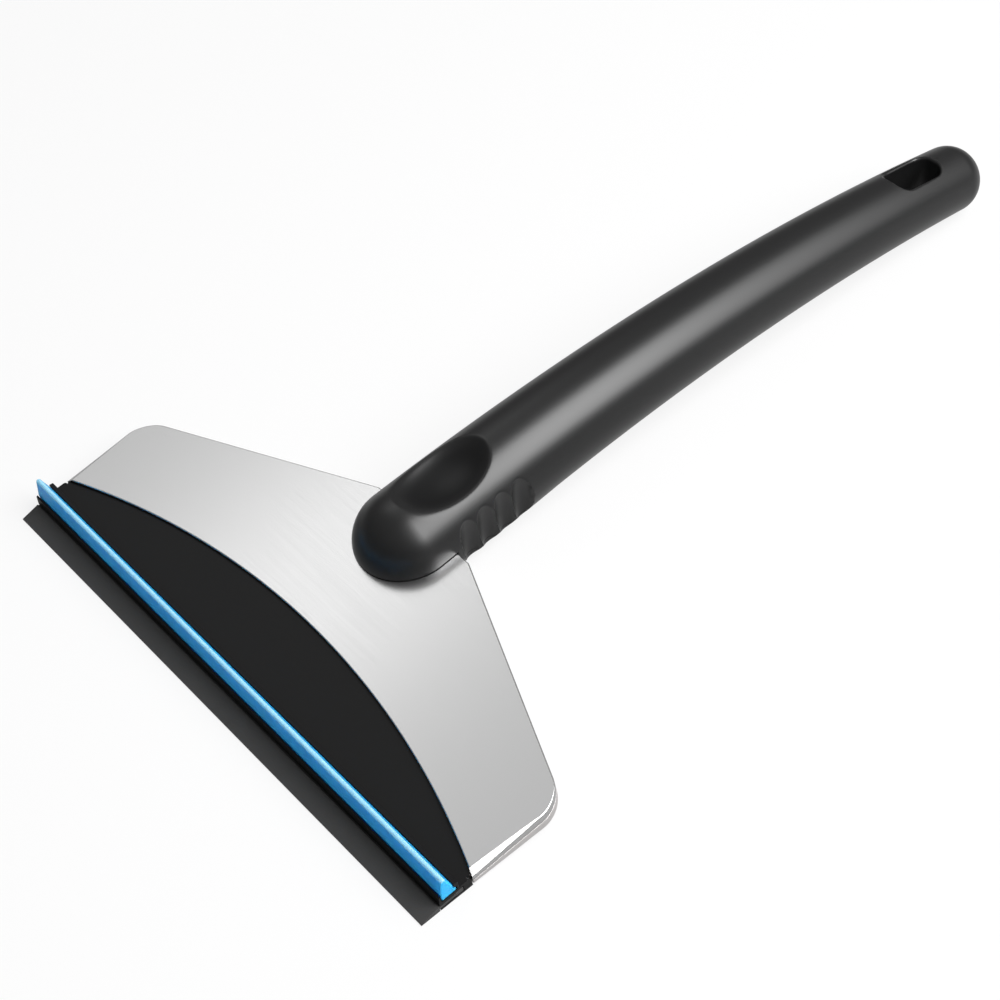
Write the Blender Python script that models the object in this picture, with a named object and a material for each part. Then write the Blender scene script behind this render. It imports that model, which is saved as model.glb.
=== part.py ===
# Hand ice scraper: a steel-clad scraping head with a rubber blade, on a curved moulded handle.
# Head frame: x runs along the blade, y from the blade's edge to the handle, z up.
# The whole scraper is then turned to the pose in which it lies on a table.

import math

import bmesh
import bpy
from mathutils import Matrix, Vector

MM = 0.001

# Clearances
SEAT_GAP = 0.3 * MM
SLIDE_GAP = 0.2 * MM
SCREW_CLEARANCE = 0.3 * MM

# How far cutters run past what they cut, and joined solids run into each other
CUT_PAST = 5 * MM
OVERLAP = 2 * MM

# Head in plan
HEAD_WIDTH = 158.8 * MM
SIDE_DRAFT = 0.3 * MM
FRONT_WIDTH = HEAD_WIDTH - 2 * SIDE_DRAFT
SHOULDER_Y = 39.4 * MM
SHOULDER_RADIUS = 9 * MM
REAR_WIDTH = 33.8 * MM
REAR_Y = 66.4 * MM
LENS_END_Y = 14.27 * MM
LENS_APEX_Y = 29.8 * MM
LENS_RADIUS = ((FRONT_WIDTH / 2) ** 2 / (LENS_APEX_Y - LENS_END_Y) + LENS_APEX_Y - LENS_END_Y) / 2

# Head in section
TOP_Z = 5.14 * MM
SHEET = 0.6 * MM
SEAM_Z = 3 * MM
EDGE_RADIUS = 1.2 * MM
UNDERSIDE_FRONT_Z = 2 * MM
UNDERSIDE_FALL = 0.062

# Blade holder, bead and blade
BLADE_SETBACK = 0.1 * MM
BLADE_LENGTH = FRONT_WIDTH - 2 * BLADE_SETBACK
BLADE_REACH = 5.1 * MM
BLADE_TIP = 0.35 * MM
BLADE_ROOT = 1.8 * MM
NECK_THICKNESS = 0.7 * MM
NECK_LENGTH = 4.5 * MM
NECK_RISE = 0.68 * MM
BULB_THICKNESS = 1.2 * MM
BULB_LENGTH = 2 * MM
RAIL_LEAN = 0.5 * MM
RAIL_THICKNESS = 0.45 * MM
FRONT_RAIL_Z = 6.2 * MM
REAR_RAIL_Z = 6.8 * MM
REAR_RAIL_THICKNESS = 0.5 * MM
BEAD_FOOT_WIDTH = 3.9 * MM
BEAD_FOOT_HEIGHT = 1 * MM
BEAD_NECK_WIDTH = 3.3 * MM
BEAD_APEX_Z = 10.95 * MM
BEAD_APEX_RADIUS = 0.6 * MM
BEAD_APEX_SETBACK = 1.55 * MM
HOLDER_CORNER = 0.8 * MM

# Core moulding inside the head
CORE_SKIN = 1.4 * MM
CORE_RIM = 2.2 * MM
RIB = 1.2 * MM
RIB_COLUMNS = 9
RIB_ROWS = 3
TONGUE_WIDTH = 17 * MM
TONGUE_TOP_Z = 3.6 * MM
TONGUE_END_Y = 104 * MM

# Back plate screws: a wide pair in front and a narrow pair behind
FRONT_PAIR_SPREAD = 104 * MM
FRONT_PAIR_SETBACK = 28.4 * MM
REAR_PAIR_SPREAD = 48 * MM
REAR_PAIR_SETBACK = 10.4 * MM
BACK_SCREW_RADIUS = 1.1 * MM
BACK_SCREW_LENGTH = 4 * MM
BACK_HEAD_RADIUS = 2.2 * MM
BACK_HEAD_HEIGHT = 0.9 * MM
BACK_BOSS_RADIUS = 2.6 * MM

# Handle: its centre line is an arc that crests at HANDLE_CREST_Y
HANDLE_ARC_RADIUS = 636 * MM
HANDLE_CREST_Y = 85.7 * MM
HANDLE_CREST_Z = 4.9 * MM
NOSE_Y = 61.2 * MM
HANDLE_END_Y = 249.6 * MM
NOSE_RADIUS = 13 * MM
END_RADIUS = 9.2 * MM
END_CAP_LENGTH = 7.5 * MM
BELLY_START_Y = 100 * MM
BELLY_SLOPE = 0.1
BELLY_FULLNESS = 3
SPLIT_DEPTH = 0.62
RING_POINTS = 44
HANDLE_STATIONS = 26

# Thumb recess
THUMB_Y = 75.2 * MM
THUMB_LENGTH = 27.7 * MM
THUMB_WIDTH = 25 * MM
THUMB_HEIGHT = 16 * MM
THUMB_DEPTH = 4.8 * MM

# Grip flutes on each flank
FLUTE_COUNT = 4
FLUTE_START_Y = 71.4 * MM
FLUTE_PITCH = 5.4 * MM
FLUTE_WIDTH = 6.2 * MM
FLUTE_HEIGHT = 40 * MM
FLUTE_DEPTH = 1.9 * MM
FLUTE_LEAN = 6

# Hanging slot
SLOT_SETBACK = 15.7 * MM
SLOT_Y = HANDLE_END_Y - SLOT_SETBACK
SLOT_LENGTH = 16.5 * MM
SLOT_WIDTH = 8.8 * MM
SLOT_CORNER = 3.4 * MM

# Hollow under the handle, and the cover that closes it
WALL = 2.6 * MM
BAY_WIDTH = 14.8 * MM
BAY_COUNT = 4
BAY_RIB = 2.4 * MM
SLOT_WALL = 3.15 * MM
COVER_END_Y = SLOT_Y - SLOT_LENGTH / 2 - SLOT_WALL
TONGUE_ROOM = 3 * MM
BAY_WALL = 3 * MM
BAY_START_Y = TONGUE_END_Y + TONGUE_ROOM + BAY_WALL
HANDLE_SCREW_RADIUS = 1.5 * MM
HANDLE_HEAD_RADIUS = 2.8 * MM
HANDLE_HEAD_HEIGHT = 1.5 * MM
HEAD_SINK = 0.4 * MM
CLAMP_SCREW_SETBACK = 6 * MM
CLAMP_SCREW_PITCH = 14 * MM
CLAMP_SCREW_LENGTH = 15 * MM
COVER_SCREW_SETBACK = 8 * MM
COVER_SCREW_LENGTH = 11 * MM
HANDLE_BOSS_RADIUS = 3.6 * MM

FAR = 60 * MM


def clear_scene():
    for item in list(bpy.data.objects):
        bpy.data.objects.remove(item, do_unlink=True)


def make_material(name, colour, roughness, metallic=0.0):
    material = bpy.data.materials.new(name)
    material.use_nodes = True
    shader = material.node_tree.nodes["Principled BSDF"]
    shader.inputs["Base Color"].default_value = (*colour, 1.0)
    shader.inputs["Roughness"].default_value = roughness
    shader.inputs["Metallic"].default_value = metallic
    return material


def add_object(name, shape, frame, material=None, smooth=False):
    bmesh.ops.recalc_face_normals(shape, faces=shape.faces)
    mesh = bpy.data.meshes.new(name)
    shape.to_mesh(mesh)
    shape.free()
    item = bpy.data.objects.new(name, mesh)
    bpy.context.scene.collection.objects.link(item)
    item.parent = frame
    if material:
        mesh.materials.append(material)
    if smooth:
        mesh.shade_smooth()
        mesh.set_sharp_from_angle(angle=math.radians(32))
    return item


def add_cutter(name, shape, frame):
    cutter = add_object(name, shape, frame)
    cutter.hide_render = True
    cutter.display_type = "WIRE"
    return cutter


def combine(target, tool, operation="DIFFERENCE"):
    step = target.modifiers.new(tool.name, "BOOLEAN")
    step.operation = operation
    step.object = tool
    step.solver = "EXACT"


# Outlines are lists of pairs that run round the shape once

def inset_outline(points, distance):
    centre = sum((Vector(p) for p in points), Vector((0, 0))) / len(points)
    sides = []
    for first, second in zip(points, points[1:] + points[:1]):
        start = Vector(first)
        along = (Vector(second) - start).normalized()
        inward = Vector((-along.y, along.x))
        if inward.dot(centre - start) < 0:
            inward = -inward
        sides.append((start + inward * distance, along))
    result = []
    for (start_a, along_a), (start_b, along_b) in zip(sides[-1:] + sides[:-1], sides):
        cross = along_a.x * along_b.y - along_a.y * along_b.x
        step = start_b - start_a
        travel = (step.x * along_b.y - step.y * along_b.x) / cross
        result.append(tuple(start_a + along_a * travel))
    return result


def fillet_corner(before, corner, after, radius, steps=6):
    corner = Vector(corner)
    back = (Vector(before) - corner).normalized()
    ahead = (Vector(after) - corner).normalized()
    half = back.angle(ahead) / 2
    centre = corner + (back + ahead).normalized() * (radius / math.sin(half))
    start = corner + back * (radius / math.tan(half)) - centre
    end = corner + ahead * (radius / math.tan(half)) - centre
    first = math.atan2(start.y, start.x)
    sweep = (math.atan2(end.y, end.x) - first + math.pi) % (2 * math.pi) - math.pi
    turns = [first + sweep * i / steps for i in range(steps + 1)]
    return [(centre.x + radius * math.cos(turn), centre.y + radius * math.sin(turn)) for turn in turns]


def round_outline(points, radii, steps=6):
    result = []
    count = len(points)
    for i, (point, radius) in enumerate(zip(points, radii)):
        if radius > 0:
            result += fillet_corner(points[i - 1], point, points[(i + 1) % count], radius, steps)
        else:
            result.append(point)
    return result


def extrude_outline(points, place, travel):
    shape = bmesh.new()
    face = shape.faces.new([shape.verts.new(place(a, b)) for a, b in points])
    grown = bmesh.ops.extrude_face_region(shape, geom=[face])
    moved = [v for v in grown["geom"] if isinstance(v, bmesh.types.BMVert)]
    bmesh.ops.translate(shape, verts=moved, vec=travel)
    return shape


def plan_prism(points, low, high):
    return extrude_outline(points, lambda x, y: (x, y, low), (0, 0, high - low))


def section_bar(points, length):
    return extrude_outline(points, lambda y, z: (-length / 2, y, z), (length, 0, 0))


def box(low, high):
    outline = [(low[0], low[1]), (high[0], low[1]), (high[0], high[1]), (low[0], high[1])]
    return plan_prism(outline, low[2], high[2])


def ellipsoid(centre, size, segments=24, rings=16):
    shape = bmesh.new()
    bmesh.ops.create_uvsphere(shape, u_segments=segments, v_segments=rings, radius=0.5)
    bmesh.ops.scale(shape, verts=shape.verts, vec=size)
    bmesh.ops.translate(shape, verts=shape.verts, vec=centre)
    return shape


def turned(profile, segments=20, into=None, place=(0, 0, 0)):
    # profile runs from the axis out and back to the axis, as pairs of radius and height
    shape = into if into else bmesh.new()
    x, y, z = place
    verts = [shape.verts.new((x + radius, y, z + height)) for radius, height in profile]
    edges = [shape.edges.new(pair) for pair in zip(verts, verts[1:])]
    bmesh.ops.spin(shape, geom=verts + edges, cent=place, axis=(0, 0, 1),
                   angle=2 * math.pi, steps=segments, use_merge=True)
    bmesh.ops.remove_doubles(shape, verts=shape.verts, dist=0.001 * MM)
    return shape


# The head's plan

def half_width_points():
    front_y = lens_edge_y(FRONT_WIDTH / 2)
    return [(FRONT_WIDTH / 2, front_y), (HEAD_WIDTH / 2, SHOULDER_Y), (REAR_WIDTH / 2, REAR_Y)]


def head_outline(inset, front_y=None):
    right = half_width_points()
    left = [(-x, y) for x, y in reversed(right)]
    points = inset_outline(right + left, inset)
    if front_y is not None:
        points[0] = (points[0][0], front_y)
        points[-1] = (points[-1][0], front_y)
    corner = max(SHOULDER_RADIUS - inset, SHOULDER_RADIUS / 4)
    return round_outline(points, [0, corner, 0, 0, corner, 0], steps=8)


def lens_edge_y(x):
    return LENS_APEX_Y - LENS_RADIUS + math.sqrt(LENS_RADIUS ** 2 - x ** 2)


def underside_z(y):
    return UNDERSIDE_FRONT_Z - UNDERSIDE_FALL * y


def cut_below_underside(shape, offset):
    # keeps what is above the sloping underside, raised by offset
    normal = Vector((0, UNDERSIDE_FALL, 1)).normalized()
    cut = bmesh.ops.bisect_plane(shape, geom=shape.verts[:] + shape.edges[:] + shape.faces[:],
                                 plane_co=(0, 0, UNDERSIDE_FRONT_Z + offset), plane_no=normal,
                                 clear_inner=True, dist=0.0001 * MM)
    rim = [e for e in cut["geom_cut"] if isinstance(e, bmesh.types.BMEdge)]
    bmesh.ops.holes_fill(shape, edges=rim, sides=0)
    return shape


def lens_cutter_shape(extra):
    # everything in front of the curved edge of the face plate
    reach = HEAD_WIDTH / 2 + CUT_PAST
    steps = 40
    points = []
    for i in range(steps + 1):
        x = reach - 2 * reach * i / steps
        points.append((x, lens_edge_y(x) + extra))
    points += [(-reach, -FAR), (reach, -FAR)]
    return plan_prism(points, -FAR, FAR)


def rounded_slab(inset, top, radius, bottom, front_y=None):
    # outline rings that follow a quarter round at the top edge
    shape = bmesh.new()
    rings = []
    steps = 5
    for i in range(steps + 1):
        turn = math.pi / 2 * i / steps
        ring_inset = inset + radius * (1 - math.sin(turn))
        rings.append((ring_inset, top - radius * (1 - math.cos(turn))))
    rings.append((inset, bottom))
    loops = []
    for ring_inset, z in rings:
        verts = [shape.verts.new((x, y, z)) for x, y in head_outline(ring_inset, front_y)]
        loops.append([shape.edges.new(pair) for pair in zip(verts, verts[1:] + verts[:1])])
    for upper, lower in zip(loops, loops[1:]):
        bmesh.ops.bridge_loops(shape, edges=upper + lower)
    bmesh.ops.holes_fill(shape, edges=loops[0], sides=0)
    bmesh.ops.holes_fill(shape, edges=loops[-1], sides=0)
    return shape


def tongue_gate(name, frame):
    # where the core's tongue passes the rear rims of both plates
    half = TONGUE_WIDTH / 2 + SEAT_GAP
    low = underside_z(REAR_Y) + SHEET
    gate = box((-half, REAR_Y - 2 * OVERLAP, low), (half, REAR_Y + FAR, web_z() + SEAT_GAP / 2))
    return add_cutter(name, gate, frame)


def web_z():
    return TOP_Z - SHEET - SEAT_GAP


def holder_rear_y():
    return lens_edge_y(FRONT_WIDTH / 2) - SEAT_GAP


def make_face_plate(frame, material):
    front = holder_rear_y() - CUT_PAST
    plate = add_object("face_plate", rounded_slab(0, TOP_Z, EDGE_RADIUS, SEAM_Z, front), frame, material, True)
    inner = rounded_slab(SHEET, TOP_Z - SHEET, EDGE_RADIUS - SHEET, -FAR, front - CUT_PAST)
    combine(plate, add_cutter("face_plate_hollow", inner, frame))
    combine(plate, add_cutter("face_plate_front", lens_cutter_shape(0), frame))
    combine(plate, tongue_gate("face_plate_gate", frame))
    return plate


def make_back_plate(frame, material):
    front = lens_edge_y(FRONT_WIDTH / 2)
    top = SEAM_Z - SEAT_GAP
    outer = cut_below_underside(plan_prism(head_outline(0, front), -FAR, top), 0)
    plate = add_object("back_plate", outer, frame, material, True)
    inner = cut_below_underside(plan_prism(head_outline(SHEET, front - CUT_PAST), -FAR, FAR), SHEET)
    combine(plate, add_cutter("back_plate_hollow", inner, frame))
    combine(plate, tongue_gate("back_plate_gate", frame))
    for i, (x, y) in enumerate(back_screw_points()):
        hole = vertical_rod(x, y, BACK_SCREW_RADIUS + SCREW_CLEARANCE, -FAR, underside_z(y) + 3 * SHEET)
        combine(plate, add_cutter("back_plate_hole_%d" % (i + 1), hole, frame))
    return plate


def back_screw_points():
    pairs = [(FRONT_PAIR_SPREAD, FRONT_PAIR_SETBACK), (REAR_PAIR_SPREAD, REAR_PAIR_SETBACK)]
    return [(side * spread / 2, REAR_Y - setback) for spread, setback in pairs for side in (-1, 1)]


def vertical_rod(x, y, radius, low, high, segments=20):
    shape = bmesh.new()
    bmesh.ops.create_cone(shape, cap_ends=True, segments=segments, radius1=radius, radius2=radius,
                          depth=high - low, matrix=Matrix.Translation((x, y, (low + high) / 2)))
    return shape


# The core moulding: holder in front, ribbed tray under the plates, tongue in the handle

def blade_levels():
    neck_low = underside_z(BLADE_REACH) + NECK_RISE
    neck_high = neck_low + NECK_THICKNESS
    middle = (neck_low + neck_high) / 2
    return neck_low, neck_high, middle - BULB_THICKNESS / 2, middle + BULB_THICKNESS / 2


def blade_profile():
    neck_low, neck_high, bulb_low, bulb_high = blade_levels()
    reach = BLADE_REACH
    root_z = underside_z(reach)
    neck_end = reach + NECK_LENGTH
    bulb_end = neck_end + BULB_LENGTH
    points = [(0, underside_z(0)), (reach, root_z), (reach, neck_low), (neck_end, neck_low),
              (neck_end, bulb_low), (bulb_end, bulb_low), (bulb_end, bulb_high), (neck_end, bulb_high),
              (neck_end, neck_high), (reach, neck_high), (reach, root_z + BLADE_ROOT),
              (0, underside_z(0) + BLADE_TIP)]
    radii = [BLADE_TIP / 4, 0, 0, 0, 0, BULB_LENGTH / 8, BULB_LENGTH / 8, 0, 0, 0, BLADE_ROOT / 8, BLADE_TIP / 2.5]
    return round_outline(points, radii, steps=3)


def bead_places():
    # the bead's foot starts behind the front rail
    jaw_y = BLADE_REACH + SLIDE_GAP
    foot_front = jaw_y + RAIL_LEAN + RAIL_THICKNESS
    foot_low = web_z() + SLIDE_GAP / 2
    return jaw_y, foot_front, foot_low


def bead_profile():
    _, foot_front, foot_low = bead_places()
    foot_high = foot_low + BEAD_FOOT_HEIGHT
    neck_rear = foot_front + BEAD_NECK_WIDTH
    foot_rear = foot_front + BEAD_FOOT_WIDTH
    centre = Vector((foot_front + BEAD_APEX_SETBACK, BEAD_APEX_Z - BEAD_APEX_RADIUS))
    apex = []
    for i in range(7):
        turn = math.radians(18 + 150 * i / 6)
        apex.append((centre.x + BEAD_APEX_RADIUS * math.cos(turn), centre.y + BEAD_APEX_RADIUS * math.sin(turn)))
    return [(foot_front, foot_low), (foot_rear, foot_low), (foot_rear, foot_high), (neck_rear, foot_high),
            (neck_rear, REAR_RAIL_Z)] + apex + [(foot_front, FRONT_RAIL_Z)]


def holder_profile():
    neck_low, neck_high, bulb_low, bulb_high = blade_levels()
    jaw_y, foot_front, foot_low = bead_places()
    gap = SLIDE_GAP
    neck_end = BLADE_REACH + NECK_LENGTH
    bulb_end = neck_end + BULB_LENGTH
    groove_front = foot_front - gap
    groove_rear = foot_front + BEAD_FOOT_WIDTH + gap
    lip_front = foot_front + BEAD_NECK_WIDTH + gap
    lip_z = foot_low + BEAD_FOOT_HEIGHT + gap
    rail_rear = groove_rear + REAR_RAIL_THICKNESS
    rear = holder_rear_y()
    points = [(jaw_y, underside_z(jaw_y)), (rear, underside_z(rear)), (rear, web_z()), (rail_rear, web_z()),
              (rail_rear, REAR_RAIL_Z - gap), (lip_front, REAR_RAIL_Z), (lip_front, lip_z),
              (groove_rear, lip_z), (groove_rear, foot_low - gap), (groove_front, foot_low - gap),
              (groove_front, FRONT_RAIL_Z), (groove_front - RAIL_THICKNESS, FRONT_RAIL_Z - gap),
              (jaw_y, neck_high + BLADE_ROOT / 4), (jaw_y, neck_high + gap), (neck_end - gap, neck_high + gap),
              (neck_end - gap, bulb_high + gap), (bulb_end + gap, bulb_high + gap),
              (bulb_end + gap, bulb_low - gap), (neck_end - gap, bulb_low - gap),
              (neck_end - gap, neck_low - gap), (jaw_y, neck_low - gap)]
    radii = [0] * len(points)
    radii[2] = HOLDER_CORNER
    return round_outline(points, radii, steps=4)


def core_floor_offset():
    return SHEET + SEAT_GAP


def rib_pockets():
    # one face cut into cells, each inset by half a rib, then drawn down
    skin_z = web_z() - CORE_SKIN
    front = holder_rear_y() + CORE_RIM / 2
    shape = bmesh.new()
    outline = head_outline(core_floor_offset() + CORE_RIM - RIB / 2, front)
    shape.faces.new([shape.verts.new((x, y, skin_z)) for x, y in outline])
    width = HEAD_WIDTH - 2 * CORE_RIM
    rear = REAR_Y - core_floor_offset() - CORE_RIM
    for i in range(1, RIB_COLUMNS):
        x = -width / 2 + width * i / RIB_COLUMNS
        bmesh.ops.bisect_plane(shape, geom=shape.verts[:] + shape.edges[:] + shape.faces[:],
                               plane_co=(x, 0, 0), plane_no=(1, 0, 0))
    for i in range(1, RIB_ROWS):
        y = front + (rear - front) * i / RIB_ROWS
        bmesh.ops.bisect_plane(shape, geom=shape.verts[:] + shape.edges[:] + shape.faces[:],
                               plane_co=(0, y, 0), plane_no=(0, 1, 0))
    slivers = [f for f in shape.faces if f.calc_area() < (4 * RIB) ** 2]
    bmesh.ops.delete(shape, geom=slivers, context="FACES")
    cells = shape.faces[:]
    frames = bmesh.ops.inset_individual(shape, faces=cells, thickness=RIB / 2, use_even_offset=True)["faces"]
    bmesh.ops.delete(shape, geom=frames, context="FACES")
    loose = [v for v in shape.verts if not v.link_faces]
    bmesh.ops.delete(shape, geom=loose, context="VERTS")
    grown = bmesh.ops.extrude_face_region(shape, geom=shape.faces[:])
    moved = [v for v in grown["geom"] if isinstance(v, bmesh.types.BMVert)]
    bmesh.ops.translate(shape, verts=moved, vec=(0, 0, -FAR))
    return shape


def make_head_core(frame, material):
    core = add_object("head_core", section_bar(holder_profile(), BLADE_LENGTH), frame, material, True)
    offset = core_floor_offset()
    front = holder_rear_y() - OVERLAP
    tray_shape = cut_below_underside(plan_prism(head_outline(offset, front), -FAR, web_z()), offset)
    tray = add_cutter("core_tray", tray_shape, frame)
    combine(tray, add_cutter("core_pockets", rib_pockets(), frame))
    combine(core, tray, "UNION")
    half = TONGUE_WIDTH / 2
    low = underside_z(REAR_Y) + offset
    tongue = box((-half, REAR_Y - 2 * OVERLAP, low), (half, TONGUE_END_Y, TONGUE_TOP_Z))
    combine(core, add_cutter("core_tongue", tongue, frame), "UNION")
    for i, (x, y) in enumerate(back_screw_points()):
        boss = cut_below_underside(vertical_rod(x, y, BACK_BOSS_RADIUS, -FAR, web_z() - CORE_SKIN / 2), offset)
        combine(core, add_cutter("core_boss_%d" % (i + 1), boss, frame), "UNION")
    for i, (x, y) in enumerate(back_screw_points()):
        top = underside_z(y) + BACK_SCREW_LENGTH + SEAT_GAP
        pilot = vertical_rod(x, y, BACK_SCREW_RADIUS + SCREW_CLEARANCE, -FAR, top)
        combine(core, add_cutter("core_pilot_%d" % (i + 1), pilot, frame))
    for i, y in enumerate(clamp_screw_ys()):
        hole = vertical_rod(0, y, HANDLE_SCREW_RADIUS + SCREW_CLEARANCE, -FAR, FAR)
        combine(core, add_cutter("core_clamp_hole_%d" % (i + 1), hole, frame))
    return core


def make_blade(frame, material):
    return add_object("rubber_blade", section_bar(blade_profile(), BLADE_LENGTH), frame, material, True)


def make_bead(frame, material):
    return add_object("blue_strip", section_bar(bead_profile(), BLADE_LENGTH), frame, material, True)


# The handle: rings of points on a curved centre line

def handle_centre_z(y):
    run = y - HANDLE_CREST_Y
    return HANDLE_CREST_Z - HANDLE_ARC_RADIUS + math.sqrt(HANDLE_ARC_RADIUS ** 2 - run ** 2)


def handle_radius(y):
    share = (y - NOSE_Y) / (HANDLE_END_Y - NOSE_Y)
    return NOSE_RADIUS + (END_RADIUS - NOSE_RADIUS) * min(max(share, 0), 1.1)


def belly_z(y):
    # the underside of the handle rises towards the head, to stay clear of the table
    if y >= BELLY_START_Y:
        return handle_centre_z(y) - handle_radius(y)
    start = handle_centre_z(BELLY_START_Y) - handle_radius(BELLY_START_Y)
    return max(start + BELLY_SLOPE * (BELLY_START_Y - y), handle_centre_z(y) - handle_radius(y))


def split_z(y):
    return handle_centre_z(y) - SPLIT_DEPTH * (handle_centre_z(y) - belly_z(y))


def section_point(turn, radius, depth):
    # round above the middle; below it the flatter the belly, the fuller the flanks
    across = math.sin(turn)
    height = math.cos(turn)
    if height > 0:
        return radius * across, radius * height
    power = 2 / (2 + BELLY_FULLNESS * (1 - depth / radius))
    return math.copysign(radius * abs(across) ** power, across), -depth * abs(height) ** power


def grip_stations():
    # pairs of place along the handle and share of the full section
    stations = []
    for i in range(1, 9):
        turn = math.pi / 2 * i / 8
        stations.append((NOSE_Y - NOSE_RADIUS * math.cos(turn), math.sin(turn)))
    for i in range(1, HANDLE_STATIONS):
        stations.append((NOSE_Y + (HANDLE_END_Y - NOSE_Y) * i / HANDLE_STATIONS, 1.0))
    for i in range(8):
        turn = math.pi / 2 * i / 8
        stations.append((HANDLE_END_Y + END_CAP_LENGTH * math.sin(turn), math.cos(turn) ** 0.85))
    return stations


def grip_form():
    shape = bmesh.new()
    loops = []
    for y, share in grip_stations():
        run = (y - HANDLE_CREST_Y) / HANDLE_ARC_RADIUS
        centre = Vector((0, y, handle_centre_z(y)))
        up = Vector((0, run, math.sqrt(1 - run ** 2)))
        radius = handle_radius(y)
        depth = centre.z - belly_z(y)
        verts = []
        for k in range(RING_POINTS):
            across, height = section_point(2 * math.pi * k / RING_POINTS, radius, depth)
            place = centre + share * (Vector((across, 0, 0)) + up * height)
            verts.append(shape.verts.new(place))
        loops.append([shape.edges.new(pair) for pair in zip(verts, verts[1:] + verts[:1])])
    for first, second in zip(loops, loops[1:]):
        bmesh.ops.bridge_loops(shape, edges=first + second)
    bmesh.ops.holes_fill(shape, edges=loops[0], sides=0)
    bmesh.ops.holes_fill(shape, edges=loops[-1], sides=0)
    return shape


def below_split(offset, start_y, end_y):
    # a block whose top follows the parting line under the handle
    steps = 24
    points = []
    for i in range(steps + 1):
        y = start_y + (end_y - start_y) * i / steps
        points.append((y, split_z(y) + offset))
    points += [(end_y, -FAR), (start_y, -FAR)]
    return section_bar(points, FAR)


def thumb_recess():
    top = handle_centre_z(THUMB_Y) + handle_radius(THUMB_Y)
    centre = (0, THUMB_Y, top - THUMB_DEPTH + THUMB_HEIGHT / 2)
    return ellipsoid(centre, (THUMB_WIDTH, THUMB_LENGTH, THUMB_HEIGHT), 40, 28)


def flute_shapes(first):
    # every other flute, so that the scoops of one cutter stay apart
    shape = bmesh.new()
    for i in range(first, FLUTE_COUNT, 2):
        y = FLUTE_START_Y + FLUTE_PITCH * i
        for side in (-1, 1):
            reach = handle_radius(y) - FLUTE_DEPTH + FLUTE_WIDTH / 2
            spot = Matrix.Translation((side * reach, y, handle_centre_z(y)))
            lean = Matrix.Rotation(math.radians(side * FLUTE_LEAN), 4, "Y")
            size = Matrix.Diagonal((FLUTE_WIDTH, FLUTE_WIDTH, FLUTE_HEIGHT, 1))
            bmesh.ops.create_uvsphere(shape, u_segments=20, v_segments=14, radius=0.5,
                                      matrix=spot @ lean @ size)
    return shape


def hanging_slot():
    half_width = SLOT_WIDTH / 2
    half_length = SLOT_LENGTH / 2
    corners = [(half_width, -half_length), (half_width, half_length), (-half_width, half_length),
               (-half_width, -half_length)]
    shape = plan_prism(round_outline(corners, [SLOT_CORNER] * 4, steps=5), -FAR / 2, FAR / 2)
    tilt = math.asin((SLOT_Y - HANDLE_CREST_Y) / HANDLE_ARC_RADIUS)
    place = Matrix.Translation((0, SLOT_Y, handle_centre_z(SLOT_Y))) @ Matrix.Rotation(-tilt, 4, "X")
    bmesh.ops.transform(shape, matrix=place, verts=shape.verts)
    return shape


def bay_ends():
    length = (COVER_END_Y - SEAT_GAP - WALL - BAY_START_Y + BAY_RIB) / BAY_COUNT
    return [(BAY_START_Y + length * i, BAY_START_Y + length * (i + 1) - BAY_RIB) for i in range(BAY_COUNT)]


def handle_bays():
    # arched rooms in a row, all open at the underside
    shape = bmesh.new()
    steps = 6
    arch = 10
    half = BAY_WIDTH / 2
    for start_y, end_y in bay_ends():
        loops = []
        for i in range(steps + 1):
            y = start_y + (end_y - start_y) * i / steps
            rise = handle_radius(y) - WALL
            turns = [math.pi * (1 - k / arch) for k in range(arch + 1)]
            points = [(half * math.cos(turn), rise * math.sin(turn)) for turn in turns]
            points = [(-half, -FAR)] + points + [(half, -FAR)]
            verts = [shape.verts.new((x, y, handle_centre_z(y) + z)) for x, z in points]
            loops.append([shape.edges.new(pair) for pair in zip(verts, verts[1:] + verts[:1])])
        for first, second in zip(loops, loops[1:]):
            bmesh.ops.bridge_loops(shape, edges=first + second)
        bmesh.ops.holes_fill(shape, edges=loops[0], sides=0)
        bmesh.ops.holes_fill(shape, edges=loops[-1], sides=0)
    return shape


def upright_rods(places, radius, segments=20):
    # places give y, low end and high end of each rod on the handle's centre line
    shape = bmesh.new()
    for y, low, high in places:
        bmesh.ops.create_cone(shape, cap_ends=True, segments=segments, radius1=radius, radius2=radius,
                              depth=high - low, matrix=Matrix.Translation((0, y, (low + high) / 2)))
    return shape


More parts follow.
